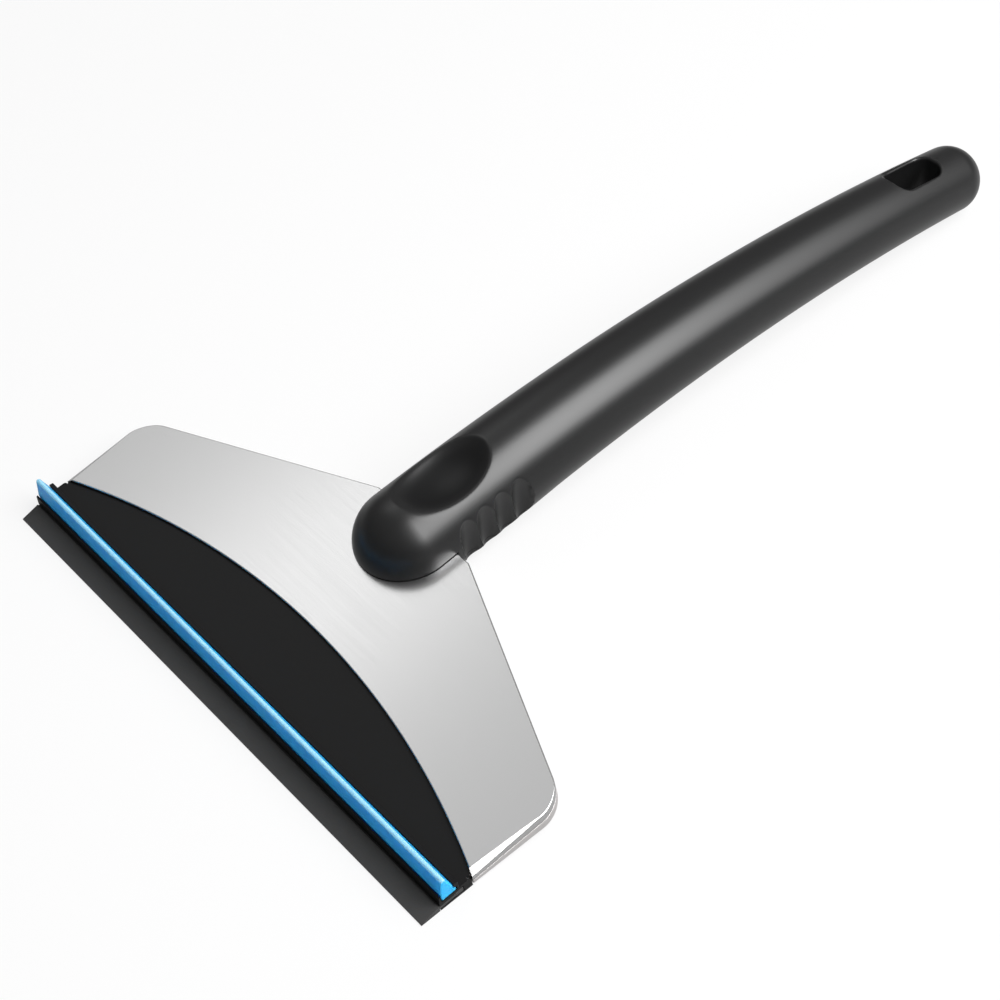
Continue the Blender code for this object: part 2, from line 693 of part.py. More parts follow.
def make_handle_body(frame, material):
    body = add_object("handle_body", grip_form(), frame, material, True)
    rear = REAR_Y + SEAT_GAP
    room = below_split(SEAT_GAP / 2, NOSE_Y - 2 * NOSE_RADIUS, COVER_END_Y)
    combine(body, add_cutter("handle_cover_room", room, frame))
    bays = add_cutter("handle_bays", handle_bays(), frame)
    bosses = upright_rods([(y, -2 * FAR, FAR) for y in cover_screw_ys()], HANDLE_BOSS_RADIUS)
    combine(bays, add_cutter("handle_bosses", bosses, frame))
    combine(body, bays)
    half = TONGUE_WIDTH / 2 + SEAT_GAP
    room = box((-half, REAR_Y - FAR, -FAR), (half, TONGUE_END_Y + TONGUE_ROOM, TONGUE_TOP_Z + SEAT_GAP))
    combine(body, add_cutter("handle_tongue_room", room, frame))
    nose_seat = box((-FAR, -FAR, -FAR), (FAR, rear, TOP_Z + SEAT_GAP))
    combine(body, add_cutter("handle_nose_seat", nose_seat, frame))
    combine(body, add_cutter("handle_thumb_recess", thumb_recess(), frame))
    for first in (0, 1):
        combine(body, add_cutter("handle_flutes_%d" % (first + 1), flute_shapes(first), frame))
    combine(body, add_cutter("handle_slot", hanging_slot(), frame))
    pilots = [(y, -FAR, head_z + length + SEAT_GAP) for y, head_z, length in handle_screw_places()]
    pilot_shape = upright_rods(pilots, HANDLE_SCREW_RADIUS + SCREW_CLEARANCE)
    combine(body, add_cutter("handle_pilots", pilot_shape, frame))
    return body


def clamp_screw_ys():
    rear = TONGUE_END_Y - CLAMP_SCREW_SETBACK
    return [rear - CLAMP_SCREW_PITCH, rear]


def cover_screw_ys():
    # one screw in every other bay
    return [start_y + COVER_SCREW_SETBACK for start_y, _ in bay_ends()[1::2]]


def handle_screw_places():
    # place along the handle, height of the seat under the head, and length of each screw
    places = []
    for y in clamp_screw_ys():
        places.append((y, belly_z(y) + HEAD_SINK + HANDLE_HEAD_HEIGHT, CLAMP_SCREW_LENGTH))
    for y in cover_screw_ys():
        places.append((y, belly_z(y) + HEAD_SINK + HANDLE_HEAD_HEIGHT, COVER_SCREW_LENGTH))
    return places


def make_cover(frame, material):
    cover = add_object("underside_cover", grip_form(), frame, material, True)
    keep = below_split(-SEAT_GAP / 2, REAR_Y + SEAT_GAP, COVER_END_Y - SEAT_GAP)
    combine(cover, add_cutter("cover_keep", keep, frame), "INTERSECT")
    pads = upright_rods([(y, split_z(y) - WALL / 2, TONGUE_TOP_Z) for y in clamp_screw_ys()], HANDLE_BOSS_RADIUS)
    combine(cover, add_cutter("cover_pads", pads, frame), "UNION")
    half = TONGUE_WIDTH / 2 + SEAT_GAP
    tongue_low = underside_z(REAR_Y) + core_floor_offset() - SEAT_GAP
    room = box((-half, 0, tongue_low), (half, TONGUE_END_Y + TONGUE_ROOM, FAR))
    combine(cover, add_cutter("cover_tongue_room", room, frame))
    holes = bmesh.new()
    for y, head_z, _ in handle_screw_places():
        wide = HANDLE_HEAD_RADIUS + SCREW_CLEARANCE
        narrow = HANDLE_SCREW_RADIUS + SCREW_CLEARANCE
        turned([(0, -FAR), (wide, -FAR), (wide, 0), (narrow, 0), (narrow, FAR), (0, FAR)],
               into=holes, place=(0, y, head_z + SEAT_GAP / 2))
    combine(cover, add_cutter("cover_holes", holes, frame))
    return cover


def screw_profile(radius, length, head_radius, head_height):
    crown = head_height * 0.35
    return [(0, -head_height), (head_radius - crown, -head_height), (head_radius, crown - head_height),
            (head_radius, 0), (radius, 0), (radius, length - radius), (radius * 0.4, length), (0, length)]


def make_screw(name, place, sizes, frame, material):
    screw = add_object(name, turned(screw_profile(*sizes), 16), frame, material, True)
    screw.location = place
    return screw


def make_screws(frame, material):
    screws = []
    sizes = (BACK_SCREW_RADIUS, BACK_SCREW_LENGTH, BACK_HEAD_RADIUS, BACK_HEAD_HEIGHT)
    for i, (x, y) in enumerate(back_screw_points()):
        place = (x, y, underside_z(y + BACK_HEAD_RADIUS) - SEAT_GAP)
        screws.append(make_screw("back_screw_%d" % (i + 1), place, sizes, frame, material))
    names = ["clamp_screw_%d" % (i + 1) for i in range(len(clamp_screw_ys()))]
    names += ["cover_screw_%d" % (i + 1) for i in range(len(cover_screw_ys()))]
    for name, (y, head_z, length) in zip(names, handle_screw_places()):
        sizes = (HANDLE_SCREW_RADIUS, length, HANDLE_HEAD_RADIUS, HANDLE_HEAD_HEIGHT)
        screws.append(make_screw(name, (0, y, head_z), sizes, frame, material))
    return screws


def lie_on_table(frame):
    # the scraper rests on the blade's lower edge and on the underside of the handle's end
    slopes = []
    for y, share in grip_stations():
        if y > BELLY_START_Y:
            depth = share * (handle_centre_z(y) - belly_z(y))
            slopes.append((handle_centre_z(y) - depth - underside_z(0)) / y)
    frame.rotation_euler = (-math.atan(min(slopes)), 0, 0)
    frame.location = (0, 0, 0)
    bpy.context.view_layer.update()
    spots = []
    for item in bpy.data.objects:
        if item.type == "MESH" and not item.hide_render:
            whole = item.evaluated_get(bpy.context.evaluated_depsgraph_get())
            spots += [item.matrix_world @ v.co for v in whole.data.vertices]
    low_y = min(s.y for s in spots)
    high_y = max(s.y for s in spots)
    frame.location = (0, -(low_y + high_y) / 2, -min(s.z for s in spots))
    bpy.context.view_layer.update()


def main():
    clear_scene()
    frame = bpy.data.objects.new("rest_frame", None)
    bpy.context.scene.collection.objects.link(frame)
    black = make_material("black_moulding", (0.012, 0.012, 0.013), 0.42)
    grip = make_material("grip_moulding", (0.02, 0.02, 0.021), 0.38)
    rubber = make_material("blade_rubber", (0.035, 0.035, 0.035), 0.7)
    blue = make_material("bead_blue", (0.05, 0.3, 0.75), 0.35)
    steel = make_material("brushed_steel", (0.62, 0.62, 0.61), 0.32, 1.0)
    zinc = make_material("screw_steel", (0.45, 0.45, 0.46), 0.35, 1.0)
    make_blade(frame, rubber)
    make_bead(frame, blue)
    make_head_core(frame, black)
    make_face_plate(frame, steel)
    make_back_plate(frame, steel)
    make_handle_body(frame, grip)
    make_cover(frame, black)
    make_screws(frame, zinc)
    lie_on_table(frame)


main()
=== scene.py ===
# Looks of the ice scraper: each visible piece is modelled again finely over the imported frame.
import math

import bmesh
import bpy
from mathutils import Matrix, Vector


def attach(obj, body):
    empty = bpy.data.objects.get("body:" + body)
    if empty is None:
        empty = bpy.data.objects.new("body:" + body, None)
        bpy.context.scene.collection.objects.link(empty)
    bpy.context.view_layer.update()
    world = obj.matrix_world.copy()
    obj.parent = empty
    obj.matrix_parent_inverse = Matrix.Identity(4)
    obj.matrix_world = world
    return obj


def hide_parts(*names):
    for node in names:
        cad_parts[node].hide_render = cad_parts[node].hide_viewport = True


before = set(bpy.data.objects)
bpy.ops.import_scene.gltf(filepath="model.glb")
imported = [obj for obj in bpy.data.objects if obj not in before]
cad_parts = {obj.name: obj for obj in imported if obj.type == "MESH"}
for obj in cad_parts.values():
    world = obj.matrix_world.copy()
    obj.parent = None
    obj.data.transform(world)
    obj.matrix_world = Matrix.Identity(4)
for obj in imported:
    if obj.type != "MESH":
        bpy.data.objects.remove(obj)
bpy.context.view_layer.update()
mm = 0.001
tiny = 0.001 * mm  # points nearer than this are merged
close = 0.01 * mm  # points nearer than this count as the same place

# The head frame: x along the blade, y from the blade to the handle, z up from the head
headPose = {"tilt": 0.111044198, "lift": (0, -0.128774256, -0.001991721)}
headPlace = Matrix.Translation(headPose["lift"]) @ Matrix.Rotation(headPose["tilt"], 4, "X")


class Signal:
    # the output of a node, which can be used in Python sums
    def __init__(self, bench, socket):
        self.bench = bench
        self.socket = socket

    def mathNode(self, operation, *values):
        return self.bench.add("ShaderNodeMath", {"operation": operation}, *values)

    def __add__(self, other):
        return self.mathNode("ADD", self, other)

    def __radd__(self, other):
        return self.mathNode("ADD", other, self)

    def __sub__(self, other):
        return self.mathNode("SUBTRACT", self, other)

    def __rsub__(self, other):
        return self.mathNode("SUBTRACT", other, self)

    def __mul__(self, other):
        return self.mathNode("MULTIPLY", self, other)

    def __rmul__(self, other):
        return self.mathNode("MULTIPLY", other, self)

    def __pow__(self, other):
        return self.mathNode("POWER", self, other)


class NodeBench:
    # short ways to add nodes to a node tree
    def __init__(self, tree):
        self.nodes = tree.nodes
        self.links = tree.links

    def add(self, kind, settings, *values, output=0, **sockets):
        # values fill the sockets in order, and None leaves one alone; the rest are filled by name
        node = self.nodes.new(kind)
        for setting, value in settings.items():
            setattr(node, setting, value)
        named = {name.replace("_", " "): value for name, value in sockets.items()}
        for key, value in list(enumerate(values)) + list(named.items()):
            if isinstance(value, Signal):
                self.links.new(value.socket, node.inputs[key])
            elif value is not None:
                node.inputs[key].default_value = value
        return Signal(self, node.outputs[output])

    def ramp(self, signal, low, high):
        # 0 below low, 1 above high
        return self.add("ShaderNodeMapRange", {"interpolation_type": "SMOOTHSTEP"}, signal, low, high, 0, 1)


class Look(NodeBench):
    # a material with one shader
    def __init__(self, name, **constants):
        self.material = bpy.data.materials.new(name)
        self.material.use_nodes = True
        super().__init__(self.material.node_tree)
        self.shader = self.nodes["Principled BSDF"]
        for socket, value in constants.items():
            self.shader.inputs[socket.replace("_", " ")].default_value = value
        self.place = self.add("ShaderNodeTexCoord", {}, output="Object")

    def feed(self, **sockets):
        for name, signal in sockets.items():
            self.links.new(signal.socket, self.shader.inputs[name.replace("_", " ")])

    def noise(self, scale, detail=3, stretch=(1, 1, 1), roughness=0.55):
        spread = self.add("ShaderNodeMapping", {}, self.place, Scale=stretch)
        return self.add("ShaderNodeTexNoise", {}, Vector=spread, Scale=scale, Detail=detail,
                        Roughness=roughness)

    def blend(self, mask, first, second):
        # two colours mixed by a mask; either may be a plain colour
        colours = [c if isinstance(c, Signal) else (*c, 1) for c in (first, second)]
        spare = [None] * 5  # the Mix node's sockets for numbers and vectors come before those for colours
        return self.add("ShaderNodeMix", {"data_type": "RGBA"}, mask, *spare, *colours, output=2)

    def bump(self, height, depth):
        self.feed(Normal=self.add("ShaderNodeBump", {}, Strength=1, Distance=depth, Height=height))


# The handle's line and its thumb recess, which its look follows too

grip = {
    "arcRadius": 636 * mm, "crestY": 85.7 * mm, "crestZ": 4.9 * mm, "noseY": 61.2 * mm, "endY": 249.6 * mm,
    "noseRadius": 13 * mm, "endRadius": 9.2 * mm, "taperEnd": 1.1, "endCap": 7.5 * mm, "endRoundness": 0.85,
    "bellyStart": 100 * mm, "bellySlope": 0.1, "bellyFullness": 3, "split": 0.62,
    "coverEnd": 222.5 * mm, "seam": 0.12 * mm, "trim": 0.02 * mm,
    "around": 232, "capSteps": 24, "fineStep": 0.3 * mm, "fineEnd": 95 * mm, "coarseStep": 1.6 * mm,
}
thumb = {
    "y": 75.2 * mm, "length": 27.7 * mm, "width": 25 * mm, "height": 16 * mm, "depth": 4.8 * mm,
    "softFront": 3 * mm, "softRear": 0.7 * mm, "mattness": 0.75,
}
thumbMask = {  # where the matt look of the recess begins and where it is full
    "front": (60 * mm, 63 * mm), "rear": (95 * mm, 92 * mm), "up": (3 * mm, 6 * mm),
    "sunk": (0.2 * mm, 3.2 * mm),
}


def centreZ(y):
    return grip["crestZ"] - grip["arcRadius"] + math.sqrt(grip["arcRadius"] ** 2 - (y - grip["crestY"]) ** 2)


def gripRadius(y):
    share = (y - grip["noseY"]) / (grip["endY"] - grip["noseY"])
    taper = (grip["endRadius"] - grip["noseRadius"]) * min(max(share, 0), grip["taperEnd"])
    return grip["noseRadius"] + taper - grip["trim"]


def headSpot(look):
    # the three coordinates in the head frame
    x, y, z = [look.add("ShaderNodeSeparateXYZ", {}, look.place, output=i) for i in range(3)]
    c, s = math.cos(headPose["tilt"]), math.sin(headPose["tilt"])
    y, z = y - headPose["lift"][1], z - headPose["lift"][2]
    return x, y * c + z * s, z * c - y * s


def recessDepth(look):
    # 0 on the round of the handle, 1 at the bottom of the thumb's recess
    x, y, z = headSpot(look)
    run = y - grip["crestY"]
    up = z - (grip["crestZ"] - grip["arcRadius"]) - (grip["arcRadius"] ** 2 - run * run) ** 0.5
    sunk = gripRadius(thumb["y"]) - (x * x + up * up) ** 0.5
    near = look.ramp(y, *thumbMask["rear"]) * look.ramp(y, *thumbMask["front"])
    return look.ramp(sunk, *thumbMask["sunk"]) * look.ramp(up, *thumbMask["up"]) * near


finishes = {
    "grip": {"colour": (0.006, 0.006, 0.0062), "roughness": 0.36, "gloss": 0.14, "grain": 2600,
             "depth": 0.008 * mm, "coat": 1.0},
    "core": {"colour": (0.0045, 0.0045, 0.0046), "roughness": 0.42, "gloss": 0.22, "grain": 3400,
             "depth": 0.012 * mm, "coat": 0},
    "steel": {"colour": (0.75, 0.75, 0.75), "roughness": 0.26, "hairs": 1500, "depth": 0.001 * mm},
    "backSteel": {"colour": (0.88, 0.85, 0.845), "roughness": 0.5, "hairs": 1100, "depth": 0.001 * mm},
    "rubber": {"colour": (0.05, 0.05, 0.05), "bloom": (0.06, 0.06, 0.06), "roughness": 0.6, "gloss": 0.35,
               "depth": 0.02 * mm},
    # the strip's edge colour, and the heights over which it fades in, paint a highlight along the strip's top
    # edge
    "strip": {"colour": (0.026, 0.44, 0.98), "pale": (0.036, 0.48, 1.0), "edge": (0.33, 0.66, 1.0),
              "paintedHighlightZ": (10.25 * mm, 10.8 * mm), "roughness": 0.24, "gloss": 0.3, "scatter": 0.6,
              "scatterReach": 2.5 * mm, "depth": 0.006 * mm},
    "zinc": {"colour": (0.5, 0.5, 0.52), "pale": (0.62, 0.62, 0.61), "roughness": 0.28, "depth": 0.01 * mm},
}


def darkMoulding(name, finish):
    # moulded plastic: spark-eroded grain, a slight unevenness of gloss, faint pale dust; a coat is its skin
    look = Look(name, Specular_IOR_Level=finish["gloss"], Coat_Roughness=finish["roughness"])
    cloudy = look.noise(scale=55, detail=4)
    fine = look.noise(scale=finish["grain"], detail=2)
    specks = look.noise(scale=900, detail=3) * 0.6 + look.noise(scale=140, detail=2) * 0.4
    dust = look.ramp(specks, low=0.62, high=0.8)
    pale = tuple(c * 1.6 + 0.003 for c in finish["colour"])
    look.feed(Base_Color=look.blend(dust * 0.35 + cloudy * 0.25, finish["colour"], pale))
    look.feed(Roughness=cloudy * 0.05 + fine * 0.05 + (finish["roughness"] - 0.05))
    look.bump(fine + cloudy * 0.5, finish["depth"])
    if finish["coat"]:
        look.feed(Coat_Weight=(1 - recessDepth(look) * thumb["mattness"]) * finish["coat"])
    return look.material


def brushedSteel(name, finish):
    # satin steel: hair lines that run along the blade, faint rub marks
    look = Look(name, Metallic=1.0)
    hairs = look.noise(scale=finish["hairs"], stretch=(0.02, 1, 1))
    cloudy = look.noise(scale=38)
    rubbed = look.noise(scale=260, detail=5, stretch=(0.15, 1, 1), roughness=0.7)
    marks = look.ramp(rubbed, low=0.6, high=0.78)
    dull = tuple(c * 0.93 for c in finish["colour"])
    look.feed(Base_Color=look.blend(marks * 0.25 + hairs * 0.25, finish["colour"], dull))
    look.feed(Roughness=hairs * 0.04 + cloudy * 0.02 + marks * 0.03 + (finish["roughness"] - 0.04))
    look.bump(hairs, finish["depth"])
    return look.material


def bladeRubber(name, finish):
    # matte black rubber with wipe marks along the lip and a faint bloom
    look = Look(name, Specular_IOR_Level=finish["gloss"])
    streaks = look.noise(scale=700, stretch=(0.04, 1, 1))
    bloom = look.ramp(look.noise(scale=90, detail=4), low=0.4, high=0.75)
    look.feed(Base_Color=look.blend(bloom * 0.5 + streaks * 0.3, finish["colour"], finish["bloom"]))
    look.feed(Roughness=streaks * 0.12 + bloom * 0.08 + finish["roughness"])
    look.bump(streaks + look.noise(scale=4200, detail=2) * 0.6, finish["depth"])
    return look.material


def stripPlastic(name, finish):
    # translucent blue with faint flow lines from extrusion; a painted highlight makes it paler along its top
    # edge
    look = Look(name, Specular_IOR_Level=finish["gloss"], Subsurface_Weight=finish["scatter"],
                Subsurface_Radius=(1, 1, 1), Subsurface_Scale=finish["scatterReach"])
    flow = look.noise(scale=500, detail=2, stretch=(0.01, 1, 1))
    cloudy = look.noise(scale=60)
    body = look.blend(flow * 0.3 + cloudy * 0.25, finish["colour"], finish["pale"])
    # painted highlight: the top of the strip is blended towards the pale edge colour
    paintedHighlightMask = look.ramp(headSpot(look)[2], *finish["paintedHighlightZ"])
    look.feed(Base_Color=look.blend(paintedHighlightMask * 0.95, body, finish["edge"]))
    look.feed(Roughness=flow * 0.08 + cloudy * 0.06 + finish["roughness"])
    look.bump(flow, finish["depth"])
    return look.material


def screwZinc(name, finish):
    # dull zinc plating with fine spots
    look = Look(name, Metallic=1.0)
    spots = look.noise(scale=1500, detail=4)
    look.feed(Base_Color=look.blend(spots, finish["colour"], finish["pale"]))
    look.feed(Roughness=spots * 0.15 + finish["roughness"])
    look.bump(spots, finish["depth"])
    return look.material


looks = {
    "grip": darkMoulding("gripMoulding", finishes["grip"]),
    "core": darkMoulding("coreMoulding", finishes["core"]),
    "steel": brushedSteel("plateSteel", finishes["steel"]),
    "backSteel": brushedSteel("backSteel", finishes["backSteel"]),
    "rubber": bladeRubber("bladeRubber", finishes["rubber"]),
    "strip": stripPlastic("stripPlastic", finishes["strip"]),
    "zinc": screwZinc("screwZinc", finishes["zinc"]),
}
print("materials made")


def finishPiece(name, shape, look, nodes, body="scraper", sharp=35):
    # from the head frame into the part's, smooth where it is round, riding its body in place of its nodes
    bmesh.ops.transform(shape, matrix=headPlace, verts=shape.verts)
    mesh = bpy.data.meshes.new(name)
    shape.to_mesh(mesh)
    shape.free()
    mesh.materials.append(looks[look])
    piece = bpy.data.objects.new(name, mesh)
    bpy.context.scene.collection.objects.link(piece)
    mesh.shade_smooth()
    mesh.set_sharp_from_angle(angle=math.radians(sharp))
    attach(piece, body)
    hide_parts(*nodes)
    return piece


def outlineFace(points, plane):
    # a face from a few corners; plane puts a pair of numbers in space
    shape = bmesh.new()
    shape.faces.new([shape.verts.new(plane(a, b)) for a, b in points])
    return shape


def span(edge):
    # how far an edge reaches along each axis
    return [abs(a - b) for a, b in zip(edge.verts[0].co, edge.verts[1].co)]


def extruded(shape, travel):
    grown = bmesh.ops.extrude_face_region(shape, geom=shape.faces[:])
    moved = [v for v in grown["geom"] if isinstance(v, bmesh.types.BMVert)]
    bmesh.ops.translate(shape, verts=moved, vec=travel)
    bmesh.ops.recalc_face_normals(shape, faces=shape.faces)
    return shape


def roundVerts(shape, spots, radius, segments):
    # corners of a flat outline are rounded at the given places
    chosen = [v for v in shape.verts if any((v.co - Vector(s)).length < close for s in spots)]
    bmesh.ops.bevel(shape, geom=chosen, offset=radius, segments=segments, profile=0.5,
                    affect="VERTICES", material=-1)


def cutWith(shape, tools, operation="DIFFERENCE", wall=0):
    # a sheet first gets its wall; then the tools are taken away in turn, or what lies in them is kept
    holder = bpy.data.objects.new("cutting", bpy.data.meshes.new("cutting"))
    bpy.context.scene.collection.objects.link(holder)
    shape.to_mesh(holder.data)
    shape.free()
    if wall:
        thicken(holder, wall)
    helpers = []
    for tool in tools:
        helper = bpy.data.objects.new("tool", bpy.data.meshes.new("tool"))
        bpy.context.scene.collection.objects.link(helper)
        tool.to_mesh(helper.data)
        tool.free()
        step = holder.modifiers.new("cut", "BOOLEAN")
        step.operation = operation
        step.solver = "EXACT"
        step.object = helper
        helpers.append(helper)
    result = bmesh.new()
    result.from_object(holder, bpy.context.evaluated_depsgraph_get())
    for item in helpers + [holder]:
        data = item.data
        bpy.data.objects.remove(item)
        bpy.data.meshes.remove(data)
    return result


def block(low, high):
    shape = bmesh.new()
    bmesh.ops.create_cube(shape, size=1)
    bmesh.ops.scale(shape, verts=shape.verts, vec=[b - a for a, b in zip(low, high)])
    bmesh.ops.translate(shape, verts=shape.verts, vec=[(a + b) / 2 for a, b in zip(low, high)])
    return shape


def rod(place, radius, low, high):
    shape = bmesh.new()
    spot = Matrix.Translation((place[0], place[1], (low + high) / 2))
    bmesh.ops.create_cone(shape, cap_ends=True, segments=40, radius1=radius, radius2=radius, depth=high - low,
                          matrix=spot)
    return shape


# Head plates

head = {
    "width": 158.8 * mm, "frontWidth": 158.2 * mm, "rearWidth": 33.8 * mm, "rearY": 66.4 * mm,
    "shoulderY": 39.4 * mm, "shoulderRadius": 9 * mm, "shoulderTurn": math.radians(66),
    "gate": 8.8 * mm,  # half the width of the gap in the rear rim
    "lensEndY": 14.27 * mm, "lensApexY": 29.8 * mm,
    "topZ": 5.14 * mm, "seamZ": 3 * mm, "seam": 0.3 * mm, "undersideZ": 2 * mm, "undersideFall": 0.062,
    "sheet": 0.6 * mm, "faceWall": 0.24 * mm, "edgeSoft": 0.05 * mm,
    "rimRadius": 0.32 * mm, "backRoll": 0.75 * mm,
    "bandWidth": 1.75 * mm, "bandEndY": 37 * mm, "bandTilt": math.radians(37), "bandFade": 0.8,
    "screws": ((52 * mm, 38 * mm), (24 * mm, 56 * mm)), "screwHole": 1.4 * mm,
}
lensRise = head["lensApexY"] - head["lensEndY"]
lensRadius = ((head["frontWidth"] / 2) ** 2 / lensRise + lensRise) / 2
lensCentre = Vector((0, head["lensApexY"] - lensRadius, 0))


def topZ(y):
    return head["topZ"]


def undersideZ(y):
    return head["undersideZ"] - head["undersideFall"] * y


def plateSheet(base, arc):
    # the plan of a plate as one flat face; its front is straight or the lens-shaped arc
    shape = bmesh.new()
    half = head["frontWidth"] / 2
    rear = head["rearWidth"] / 2
    corners = [(-half, head["lensEndY"]), (-head["width"] / 2, head["shoulderY"]), (-rear, head["rearY"]),
               (-head["gate"], head["rearY"]), (head["gate"], head["rearY"]), (rear, head["rearY"]),
               (head["width"] / 2, head["shoulderY"]), (half, head["lensEndY"])]
    verts = [shape.verts.new((x, y, 0)) for x, y in corners]
    for pair in zip(verts, verts[1:]):
        shape.edges.new(pair)
    if arc:
        turn = 2 * math.asin(half / lensRadius)
        bmesh.ops.spin(shape, geom=[verts[-1]], cent=lensCentre, axis=(0, 0, 1), angle=turn, steps=72)
        bmesh.ops.remove_doubles(shape, verts=shape.verts, dist=close)
    else:
        shape.edges.new((verts[-1], verts[0]))
    bmesh.ops.contextual_create(shape, geom=shape.edges)
    spots = [(side * head["width"] / 2, head["shoulderY"], 0) for side in (-1, 1)]
    roundVerts(shape, spots, head["shoulderRadius"] * math.tan(head["shoulderTurn"] / 2), segments=20)
    bmesh.ops.delete(shape, geom=shape.faces[:], context="FACES_ONLY")
    # the straight sides get points along which the bent margin can taper
    sides = [e for e in shape.edges if span(e)[0] < 1 * mm and span(e)[1] > 15 * mm]
    bmesh.ops.subdivide_edges(shape, edges=sides, cuts=14)
    bmesh.ops.contextual_create(shape, geom=shape.edges)
    for vert in shape.verts:
        vert.co.z = base(vert.co.y)
    return shape


def onArc(edge):
    return all(abs((v.co.xy - lensCentre.xy).length - lensRadius) < 2 * close for v in edge.verts)


def skirtEdges(shape):
    # the sides, shoulders and rear of a plate, without its front and the gate in its rear
    chosen = []
    for edge in shape.edges:
        middle = (edge.verts[0].co + edge.verts[1].co) / 2
        if abs(middle.x) > head["gate"] and not onArc(edge):
            chosen.append(edge)
    return chosen


def inwardWays(edges, cornerSlope):
    # for each vertex the way across its edges into the plate; the front corners slide along the front
    ways = {}
    middle = Vector((0, head["shoulderY"] * 0.8, 0))  # well inside the plate
    for vert in {v for e in edges for v in e.verts}:
        if abs(vert.co.y - head["lensEndY"]) < close:
            ways[vert] = Vector((-math.copysign(1, vert.co.x), cornerSlope, 0))
            continue
        total = Vector()
        for edge in [e for e in vert.link_edges if e in edges]:
            way = edge.verts[1].co - edge.verts[0].co
            across = Vector((-way.y, way.x, 0)).normalized()
            if across.dot(middle - vert.co) < 0:
                across.negate()
            total += across
        total.normalize()
        ways[vert] = total / total.dot(across)
    return ways


def foldRim(shape, edges, ways, widthAt, base, radius, fall, endZ):
    # edges are rolled over: a first curve, a sloping band, a second curve and a wall
    places = {vert: (vert.co.xy.to_3d(), way) for vert, way in ways.items()}
    bends = ((0, 15, 30), (30, 45, 60, 75, 90))  # degrees rolled over, before the band and past it
    sections = [(math.radians(turn), pastBand) for pastBand, turns in enumerate(bends) for turn in turns]
    for step in range(len(sections) + 1):
        if step:
            grown = bmesh.ops.extrude_edge_only(shape, edges=edges)["geom"]
            fresh = {v for v in grown if isinstance(v, bmesh.types.BMVert)}
            edges = [e for e in grown if isinstance(e, bmesh.types.BMEdge) and set(e.verts) <= fresh]
            before = {v: next(e.other_vert(v) for e in v.link_edges if e.other_vert(v) in places)
                      for v in fresh}
            places = {v: places[old] for v, old in before.items()}
        for vert, (place, way) in places.items():
            if step == len(sections):
                vert.co = (place.x, place.y, endZ)
                continue
            turn, pastBand = sections[step]
            band = widthAt(place.y) - radius
            spot = place + way * (radius * (1 - math.sin(turn)) + (0 if pastBand else band))
            drop = radius * (1 - math.cos(turn)) + (band * math.tan(head["bandTilt"]) if pastBand else 0)
            vert.co = (spot.x, spot.y, base(spot.y) + fall * drop)


def faceOut(shape, up):
    # doubles merged, all faces outwards; up tells which way the great flat face looks
    bmesh.ops.remove_doubles(shape, verts=shape.verts, dist=tiny)
    bmesh.ops.recalc_face_normals(shape, faces=shape.faces)
    flat = max(shape.faces, key=lambda f: f.calc_area())
    if flat.normal.z * up < 0:
        bmesh.ops.reverse_faces(shape, faces=shape.faces)


def thicken(piece, thickness):
    wall = piece.modifiers.new("wall", "SOLIDIFY")
    wall.thickness = thickness
    wall.offset = -1
    wall.use_even_offset = True


def softenEdges(piece):
    fine = piece.modifiers.new("edge", "BEVEL")
    fine.width = head["edgeSoft"]
    fine.segments = 3
    fine.limit_method = "ANGLE"
    fine.angle_limit = math.radians(50)


def evenNormals(piece):
    # a broad face keeps its own direction up to its rounded edge
    even = piece.modifiers.new("even", "WEIGHTED_NORMAL")
    even.mode = "FACE_AREA"
    even.weight = 90
    even.keep_sharp = True


def bandWidth(y):
    # the bent margin is widest at the front of the sides and runs out towards the shoulder
    share = max(head["bandEndY"] - y, 0) / (head["bandEndY"] - head["lensEndY"])
    return max(head["rimRadius"], head["bandWidth"] * share ** head["bandFade"])


def makeFacePlate():
    shape = plateSheet(topZ, arc=True)
    skirt = skirtEdges(shape)
    arc = [e for e in shape.edges if onArc(e)]
    cornerSlope = math.tan(math.asin(head["frontWidth"] / 2 / lensRadius))
    foldRim(shape, skirt, inwardWays(skirt, cornerSlope), bandWidth, topZ, head["rimRadius"], -1,
            head["seamZ"])
    outward = {v: (v.co.xy - lensCentre.xy).normalized().to_3d() for e in arc for v in e.verts}
    foldRim(shape, arc, outward, lambda y: head["rimRadius"], topZ, head["rimRadius"], -1,
            head["topZ"] - head["sheet"])
    faceOut(shape, 1)
    plate = finishPiece("facePlate", shape, "steel", ["face_plate"], sharp=40)
    thicken(plate, head["faceWall"])
    softenEdges(plate)
    evenNormals(plate)


def makeBackPlate():
    shape = plateSheet(undersideZ, arc=False)
    skirt = skirtEdges(shape)
    foldRim(shape, skirt, inwardWays(skirt, 0), lambda y: head["backRoll"], undersideZ, head["backRoll"], 1,
            head["seamZ"] - head["seam"])
    faceOut(shape, -1)
    holes = [rod((side * x, y), head["screwHole"], -20 * mm, 20 * mm)
             for x, y in head["screws"] for side in (-1, 1)]
    shape = cutWith(shape, holes, wall=head["sheet"])
    plate = finishPiece("backPlate", shape, "backSteel", ["back_plate"], sharp=40)
    softenEdges(plate)
    evenNormals(plate)


makeFacePlate()
makeBackPlate()
print("plates made")


# Blade and strip

blade = {
    "length": 158 * mm, "reach": 5.1 * mm, "tip": 0.35 * mm, "root": 1.8 * mm, "neck": 0.7 * mm,
    "neckLength": 4.5 * mm, "neckRise": 0.68 * mm, "bulb": 1.2 * mm, "bulbLength": 2 * mm,
    # radius by the number of the section's corner: the lip's lower and upper edge, its root, the bulb
    "rounds": {0: 0.06 * mm, 11: 0.12 * mm, 10: 0.25 * mm, 5: 0.3 * mm, 6: 0.3 * mm},
}


